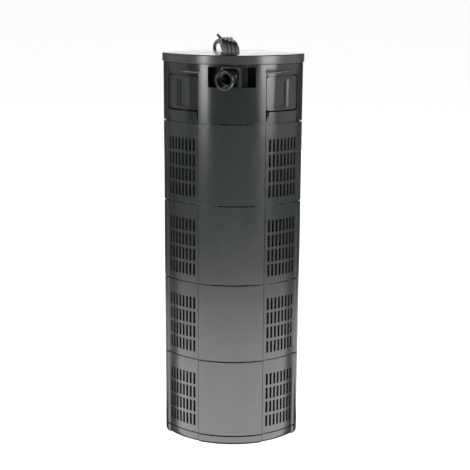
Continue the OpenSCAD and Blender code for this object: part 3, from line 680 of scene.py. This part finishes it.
def wall_mesh(form, material, columns=0, rows=0):
    """Runs the pierced wall tree on a sheet and gives back a plain mesh."""
    sheet = bpy.data.objects.new("sheet", bpy.data.meshes.new("sheet"))
    form.to_mesh(sheet.data)
    form.free()
    bpy.context.scene.collection.objects.link(sheet)
    modifier = sheet.modifiers.new("wall", "NODES")
    modifier.node_group = pierced_wall
    key = {s.name: s.identifier for s in pierced_wall.interface.items_tree}
    for name, value in (("Columns", float(columns)), ("Rows", float(rows)), ("Column pitch", SLOT_PITCH),
                        ("Row pitch", ROW_PITCH), ("Slot width", SLOT_WIDTH), ("Slot height", SLOT_HEIGHT),
                        ("First row", FIRST_ROW), ("Plastic", material)):
        modifier[key[name]] = value
    done = bpy.data.meshes.new_from_object(sheet.evaluated_get(bpy.context.evaluated_depsgraph_get()))
    sheet.modifiers.clear()
    bpy.data.objects.remove(sheet)
    return done


def flat_face(form, loops, z):
    """A flat face at one height, inside the first loop and outside the others."""
    edges = []
    for loop in loops:
        verts = [form.verts.new((x, y, z * MM)) for x, y in loop]
        edges += [form.edges.new((verts[i], verts[(i + 1) % len(verts)])) for i in range(len(verts))]
    bmesh.ops.triangle_fill(form, edges=edges, use_beauty=True)


def floor_with_holes(form, z0, z1, inset, holes):
    """A flat floor inside the outline, with round or oblong holes through it."""
    loops = [[on_outline(c, inset, 0)[:2] for c in plain_outline]] + holes
    for z in (z0, z1):
        flat_face(form, loops, z)
    for loop in loops:
        upright(form, loop, z0, z1)


def drain(angle):
    """One oblong hole of the floor, pointing away from the pump's axis."""
    cos, sin = math.cos(angle), math.sin(angle)
    return [((x * cos - y * sin) * MM, (pump_y + x * sin + y * cos) * MM)
            for x, y in ((DRAIN_NEAR, -DRAIN_HALF), (DRAIN_FAR, -DRAIN_HALF),
                         (DRAIN_FAR, DRAIN_HALF), (DRAIN_NEAR, DRAIN_HALF))]


floor_holes = [circle(0, pump_y, CORE_HOLE_R)]
floor_holes += [drain(math.radians(360 / DRAINS * (i + 0.5))) for i in range(DRAINS)]
slot_edges = []
for column in range(SLOT_COLUMNS):
    middle = GRILLE_SHIFT + (column - (SLOT_COLUMNS - 1) / 2) * SLOT_PITCH
    slot_edges += [latch_mid + (middle + h * SLOT_WIDTH / 2) / (front_r - RECESS) for h in (-1, 1)]
module_outline = whole_outline(right_half(slot_edges))


def module_shell(z0, name):
    """A module from its lower seam to the top of its collar."""
    z1 = z0 + MODULE_HEIGHT
    rows = []
    for row in range(SLOT_ROWS):
        high = z1 - FIRST_ROW - row * ROW_PITCH
        rows += [(high, 0, 1), (high - SLOT_HEIGHT, 0, 1)]
    levels = [(z0, SEAM_DEEP, 0), (z0 + SEAM_HALF - SEAM_LIP, SEAM_DEEP, 0), (z0 + SEAM_HALF, 0, 1)]
    levels += sorted(rows)
    levels += [(z1 - SEAM_HALF, 0, 1), (z1 - SEAM_HALF + SEAM_LIP, SEAM_DEEP, 0), (z1, SEAM_DEEP, 0)]
    mesh = wall_mesh(wall_sheet(module_outline, levels), housing, SLOT_COLUMNS, SLOT_ROWS)
    form = bmesh.new()
    form.from_mesh(mesh)
    bpy.data.meshes.remove(mesh)
    inside = SKIN - 0.1
    rim, root = z1 - 0.1, z1 - 8
    bedded = [(inside, root, 0), (inside, rim, 0), (SPIGOT_OUT, rim, 0)]
    band(form, plain_outline, bedded + spigot(z1, root)[1:])
    floor_with_holes(form, z0 + FLOOR_LOW, z0 + FLOOR_HIGH, inside, floor_holes)
    return piece_of(name, form, housing)


for number in (1, 2, 3, 4):
    module = module_shell(BASE_HEIGHT + (4 - number) * MODULE_HEIGHT, f"shell_{number}")
    round_edges(module, 0.22)
    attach(module, f"module_{number}")
    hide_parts(f"module_{number}")

# ---- Pump head ----
# The motor's housing, moulded in darker and glossier plastic than the modules, with an
# opening for the outlet at the front and one for a release latch in each side panel.

HEAD_TINT = (0.86, 1, 1)
head_plastic = moulded("head_plastic", shade(0.010, HEAD_TINT), shade(0.014, HEAD_TINT), 0.17, 0.3)
WINDOW_HALF = 20.1
WINDOW_LOW = 30.8
WINDOW_HIGH = 47.6
LATCH_WIDTH = 33.4
LATCH_LOW = 9.7
LATCH_HIGH = 40.3
LATCH_ROUND = 3.0
COLLAR = 42.1  # where the sunk side panels end
COLLAR_ROUND = ((0.0, 1.0), (0.1, 0.5), (0.4, 0.2), (0.85, 0.05), (1.3, 0.0))
COLLAR_CLIMB = 1.9
window_edge = math.asin(WINDOW_HALF / front_r)
latch_swing = math.asin(LATCH_WIDTH / 2 / (front_r - RECESS))
latch_edges = (latch_mid - latch_swing, latch_mid + latch_swing)


def rounded(z):
    """How far a latch opening's side is drawn in at a height near its corners."""
    gap = min(z - head_z - LATCH_LOW, head_z + LATCH_HIGH - z)
    if gap < -1e-6 or gap >= LATCH_ROUND:
        return 0.0
    return LATCH_ROUND - math.sqrt(max(0.0, LATCH_ROUND ** 2 - (LATCH_ROUND - gap) ** 2))


def latch_corner(column, z):
    """Turns the upright edges of a latch opening inwards at its round corners."""
    for edge, way in zip(latch_edges, (1, -1)):
        if column[0] == 0 and abs(column[2] - edge) < 1e-6:
            return way * rounded(z) / front_r
    return 0.0


def head_open(a, b, low, high):
    """Whether the wall is open between two columns and two heights."""
    if a[0] != 0 or b[0] != 0:
        return False
    angle = (a[2] + b[2]) / 2
    z = (low + high) / 2 - head_z
    if angle < window_edge and WINDOW_LOW < z < WINDOW_HIGH:
        return True
    return latch_edges[0] < angle < latch_edges[1] and LATCH_LOW < z < LATCH_HIGH


def collar_rise(column, level):
    """The collar's lower edge climbs a little towards the back."""
    if level in collar_levels and column[0] == 0:
        t = max(0.0, min(1.0, (column[2] - math.radians(32)) / math.radians(16)))
        return COLLAR_CLIMB * t * t * (3 - 2 * t)
    return 0.0


head_half = right_half(latch_edges)
after_window = next(i for i, column in enumerate(head_half) if column[2] > window_edge)
head_half.insert(after_window, (0, arc_y, window_edge, front_r, 0))
head_outline = whole_outline(head_half)
corner_steps = [LATCH_ROUND * (1 - math.cos(math.pi / 2 * i / 5)) for i in range(6)]
cuts = {SEAM_HALF, WINDOW_LOW, WINDOW_HIGH, HEAD_HEIGHT}
for step in corner_steps:
    cuts |= {round(LATCH_LOW + step, 4), round(LATCH_HIGH - step, 4)}
levels = [(head_z, SEAM_DEEP, 0), (head_z + (SEAM_HALF - SEAM_LIP), SEAM_DEEP, 0)]
levels += [(head_z + height, 0, 1) for height in sorted(cuts) if height < COLLAR]
collar_levels = range(len(levels), len(levels) + len(COLLAR_ROUND))
levels += [(head_z + COLLAR + rise, 0, sink) for rise, sink in COLLAR_ROUND]
levels += [(head_z + height, 0, 0) for height in sorted(cuts) if height > COLLAR + COLLAR_ROUND[-1][0]]
form = wall_sheet(head_outline, levels, head_open, latch_corner, collar_rise)
mesh = wall_mesh(form, head_plastic)
form = bmesh.new()
form.from_mesh(mesh)
bpy.data.meshes.remove(mesh)
floor_with_holes(form, head_z + FLOOR_LOW, head_z + FLOOR_HIGH, SKIN - 0.1, floor_holes)
head = piece_of("head_shell", form, head_plastic)
round_edges(head, 0.3)
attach(head, "head")
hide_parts("head_housing")

# ---- Lid ----
# A shallow pressed-on cover in a warmer grey than the head, standing out by nearly a
# millimetre all round, with a flat top and a softly rounded upper edge.

LID_OUT = 0.9
LID_ROUND = 0.9
LID_SKIN = 2.2
LID_TINT = (0.97, 1, 0.93)
lid_plastic = moulded("lid_plastic", shade(0.026, LID_TINT), shade(0.034, LID_TINT), 0.24)
form = bmesh.new()
below = [(6.0, top_z - LID_SKIN, 0), (LID_SKIN, top_z - LID_SKIN, 0), (LID_SKIN, lid_z, 0), (0.5, lid_z, 0),
         (0.5, lid_z + 0.5, 0), (-LID_OUT, lid_z + 0.62, 0)]
edge = []
for i in range(5):
    a = math.pi / 2 * i / 4
    edge.append((-LID_OUT + LID_ROUND * (1 - math.cos(a)), top_z - LID_ROUND + LID_ROUND * math.sin(a), 0))
band(form, plain_outline, [*below, *edge, (2.5, top_z, 0), (6.0, top_z, 0)], caps=(0, -1))
lid = piece_of("lid_cover", form, lid_plastic)
round_edges(lid, 0.2)
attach(lid, "head")
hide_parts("lid")

# ---- Release latches ----
# A dished finger plate in each side opening, hung on a steel pin behind the head's
# collar and held out by a coil spring. Pressed in, its hook lets the modules go.

for hand in ("left", "right"):
    plate = from_cad(f"press_latch_{hand}", f"latch_{hand}", 0.35, 3)
    plate.data.materials.append(head_plastic)
    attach(plate, f"latch_{hand}")
    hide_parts(f"latch_{hand}")

# ---- Outlet ----
# A ball-jointed water outlet: a short flared spout turns in a drum that swivels in a
# black socket behind the window.

outlet_black = moulded("black_plastic", shade(0.003), shade(0.006), 0.3)
outlet_stuff = {"black_plastic": outlet_black, "head_plastic": head_plastic}
for name, node, body, slot, width in (
    ("swivel_drum", "turret", "turret", "black_plastic", 0.35),
    ("flared_spout", "spout", "spout", "head_plastic", 0.3),
    ("ball_socket", "outlet_socket", "head", "black_plastic", 0.3),
):
    part = from_cad(name, node, width, 3)
    part.data.materials.append(outlet_stuff[slot])
    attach(part, body)
    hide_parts(node)

# ---- Foam blocks ----
# Each module holds a block of dark open-cell foam, cut to the shell's outline, with a
# hole for the suction core.

FOAM_INSET = 4.9
FOAM_ABOVE = 10.6
FOAM_BELOW = 12.2
FOAM_BORE_R = 10.8
FOAM_RINGS = 25


def cells(at):
    return at.node("ShaderNodeTexVoronoi", None, {"Vector": at, "Scale": 900.0})


foam_stuff = finish(
    "foam",
    colour=lambda at: cells(at).ramp(0.1, 0.6).mix(shade(0.002), shade(0.010, (0.9, 1, 1.05))),
    rough=lambda at: at.noise(500, 2).ramp(0.3, 0.7, 0.85, 0.98),
    normal=lambda at: cells(at).bump(1.0, 0.0006),
)
for number in (1, 2, 3, 4):
    low = BASE_HEIGHT + (4 - number) * MODULE_HEIGHT + FOAM_ABOVE
    high = BASE_HEIGHT + (5 - number) * MODULE_HEIGHT - FOAM_BELOW
    profile = []
    for i in range(FOAM_RINGS):
        t = i / (FOAM_RINGS - 1)
        swell = 0.5 * math.sin(math.pi * t) + 0.12 * math.sin(9 * t + number)
        nip = 1.6 * max(0.0, 1 - min(t, 1 - t) * 14) ** 2
        profile.append((FOAM_INSET - swell + nip, low + (high - low) * t, 0))
    form = bmesh.new()
    band(form, plain_outline, profile, caps=())
    bore = circle(0, pump_y, FOAM_BORE_R)
    for end in (profile[0], profile[-1]):
        flat_face(form, [[on_outline(c, end[0], 0)[:2] for c in plain_outline], bore], end[1])
    upright(form, bore, low, high)
    foam = piece_of(f"foam_block_{number}", form, foam_stuff)
    foam.data.shade_smooth()
    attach(foam, f"module_{number}")
    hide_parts(f"foam_{number}")

# ---- Suction cups ----
# Smoky soft vinyl cups, buttoned through the slanting rear walls of the head and of the
# lowest module.

VINYL_TINT = (0.95, 1, 1.03)
smoky_vinyl = finish(
    "grey_rubber",
    colour=lambda at: at.noise(70, 3).mix(shade(0.07, VINYL_TINT), shade(0.10, VINYL_TINT)),
    rough=lambda at: at.noise(150, 3).ramp(0.3, 0.7, 0.22, 0.38),
    normal=lambda at: at.noise(700, 2).bump(0.15, 0.0001),
)
for name, node, body in (
    ("upper_cups", "wall_cups_upper", "head"),
    ("lower_cups", "wall_cups_lower", "module_4"),
):
    cups = from_cad(name, node, 0.3, 2, 50, 0.2)
    cups.data.materials.append(smoky_vinyl)
    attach(cups, body)
    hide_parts(node)

# ---- Pump, cores and fastenings ----
# The hidden works: the motor block potted in resin, the magnet and impeller on a ceramic
# shaft, the perforated core tubes with their seals, and the steel pins, screws and springs.

PALE_TINT = (1, 1.02, 0.98)
CERAMIC_TINT = (1, 0.99, 0.95)
NICKEL_TINT = (1, 0.98, 0.94)
ALONG_X = (0.1, 1, 1)
ALONG_Z = (1, 1, 0.1)
stuff = {
    "black_plastic": outlet_black,
    "head_plastic": head_plastic,
    "dark_housing": housing,
    "lid_plastic": lid_plastic,
    "foam": foam_stuff,
    "grey_rubber": smoky_vinyl,
    "cord_sheath": sheath,
    "tie_plastic": tie_black,
    "plug_plastic": plug_black,
    "black_rubber": finish(
        "black_rubber",
        colour=lambda at: at.noise(150, 3).mix(shade(0.012), shade(0.026)),
        rough=lambda at: at.noise(300, 3).ramp(0.3, 0.7, 0.42, 0.6),
        normal=lambda at: at.noise(1500, 2).bump(0.2, 0.00008)),
    "pale_plastic": finish(
        "pale_plastic",
        colour=lambda at: at.noise(80, 3).mix(shade(0.50, PALE_TINT), shade(0.60, PALE_TINT)),
        rough=lambda at: at.noise(260, 3).ramp(0.3, 0.7, 0.3, 0.42),
        normal=lambda at: at.noise(1600, 2).bump(0.1, 0.00005)),
    "magnet": finish(
        "magnet",
        colour=lambda at: at.noise(400, 4).mix(shade(0.022), shade(0.045)),
        rough=lambda at: at.noise(600, 3).ramp(0.3, 0.7, 0.35, 0.55),
        normal=lambda at: at.noise(2400, 3).bump(0.3, 0.00008)),
    "ceramic": finish(
        "ceramic",
        colour=lambda at: at.noise(90, 2).mix(shade(0.80, CERAMIC_TINT), shade(0.87, CERAMIC_TINT)),
        rough=lambda at: at.noise(300, 2).ramp(0.3, 0.7, 0.12, 0.2)),
    "potting_resin": finish(
        "potting_resin",
        colour=lambda at: at.noise(60, 4).mix(shade(0.014), shade(0.028)),
        rough=lambda at: at.noise(120, 3).ramp(0.3, 0.7, 0.12, 0.3),
        normal=lambda at: at.noise(90, 2).bump(0.4, 0.0004)),
    "steel": finish(
        "steel",
        colour=lambda at: at.noise(500, 3, 0.5, ALONG_X).mix(shade(0.50), shade(0.66)),
        rough=lambda at: at.noise(900, 3, 0.5, ALONG_X).ramp(0.3, 0.7, 0.2, 0.38),
        Metallic=1.0),
    "nickel": finish(
        "nickel",
        colour=lambda at: at.noise(300, 3, 0.5, ALONG_Z).mix(
            shade(0.6, NICKEL_TINT), shade(0.7, NICKEL_TINT)),
        rough=lambda at: at.noise(700, 3, 0.5, ALONG_Z).ramp(0.3, 0.7, 0.14, 0.3),
        Metallic=1.0),
}
for part in frame["record"]["subparts"]:
    node = frame["nodes"][part["node"]]
    node.data.materials.clear()
    node.data.materials.append(stuff[part["material_slot"]])

# ---- Floor and light ----
# A plain white floor and background, a tall soft light at each front corner, a curved glowing
# card below the floor's level that fades upwards, two panels beside the foot, and broad ones at
# the sides and behind. The glossy plastic mirrors them, and the camera doesn't see them.

DIM_SKY = 0.06  # the background's strength for everything but the camera
scene = bpy.context.scene
scene.view_settings.view_transform = "Standard"
world = bpy.data.worlds.new("studio")
world.use_nodes = True
scene.world = world
sky = Flow(world.node_tree, None)
seen = sky.node("ShaderNodeLightPath", None, None, "Is Camera Ray")
background = world.node_tree.nodes["Background"]
background.inputs["Color"].default_value = (1, 1, 1, 1)
world.node_tree.links.new((seen * (1 - DIM_SKY) + DIM_SKY).socket, background.inputs["Strength"])

form = bmesh.new()
bmesh.ops.create_grid(form, x_segments=1, y_segments=1, size=40)
floor = piece_of("floor", form, finish(
    "pale_floor",
    colour=lambda at: at.noise(3, 2).mix(shade(0.84), shade(0.88)),
    rough=lambda at: at.noise(8, 2).ramp(0.3, 0.7, 0.7, 0.8),
    Emission_Color=(1, 1, 1, 1), Emission_Strength=0.92))
floor.location.z = -0.0002
floor.visible_glossy = False
floor.visible_shadow = False

CARD_RADIUS = 1.0
CARD_TURN = math.radians(88)
CARD_LOW = -1.3
CARD_HIGH = 0.05
CARD_GLOW = 8.0
CARD_FADE = ((0.0, 0.6), (0.64, 0.68), (0.73, 0.71), (0.815, 0.46), (0.874, 0.12), (0.926, 0.0), (1.0, 0.0))
form = bmesh.new()
card_angles = spread(-CARD_TURN, CARD_TURN, 32)
low, high = [[form.verts.new((CARD_RADIUS * math.sin(a), -CARD_RADIUS * math.cos(a), z)) for a in card_angles]
             for z in (CARD_LOW, CARD_HIGH)]
for i in range(len(card_angles) - 1):
    form.faces.new((low[i], low[i + 1], high[i + 1], high[i]))


def card_glow(at):
    height = at.node("ShaderNodeSeparateXYZ", None, {0: at}, 2).ramp(CARD_LOW, CARD_HIGH)
    return height.node("ShaderNodeValToRGB", {"stops": CARD_FADE}, {0: height})


card = piece_of("card", form, finish(
    "card_glow", glow=card_glow, Emission_Strength=CARD_GLOW, Base_Color=(0, 0, 0, 1)))
card.visible_camera = False
card.visible_shadow = False


def soft_light(name, place, target, width, height, glow):
    """A rectangular light whose face shows the given brightness; the camera doesn't see it."""
    lamp = bpy.data.lights.new(name, "AREA")
    lamp.shape = "RECTANGLE"
    lamp.size, lamp.size_y = width, height
    lamp.energy = math.pi * width * height * glow
    light = bpy.data.objects.new(name, lamp)
    light.location = place
    light.rotation_euler = (Vector(target) - Vector(place)).to_track_quat("-Z", "Y").to_euler()
    light.visible_camera = False
    scene.collection.objects.link(light)


soft_light("left_strip", (-1.03, -1.22, 0.55), (0, 0, 0.35), 0.34, 0.9, 11)
soft_light("right_strip", (1.24, -1.06, 0.55), (0, 0, 0.35), 0.66, 0.9, 10)
for name, hand, glow in (("foot_left", -1, 1.3), ("foot_right", 1, 2.4)):
    soft_light(name, (hand * 0.25, 0.25, 0.002), (hand * 0.25, 0.25, 1), 0.4, 0.44, glow)
soft_light("left_side", (-1.3, -0.15, 0.5), (0, 0, 0.3), 0.8, 0.9, 0.6)
soft_light("right_side", (1.3, -0.15, 0.5), (0, 0, 0.3), 0.8, 0.9, 0.9)
soft_light("back_panel", (0, 1.6, 0.5), (0, 0, 0.35), 3.0, 1.4, 1.9)
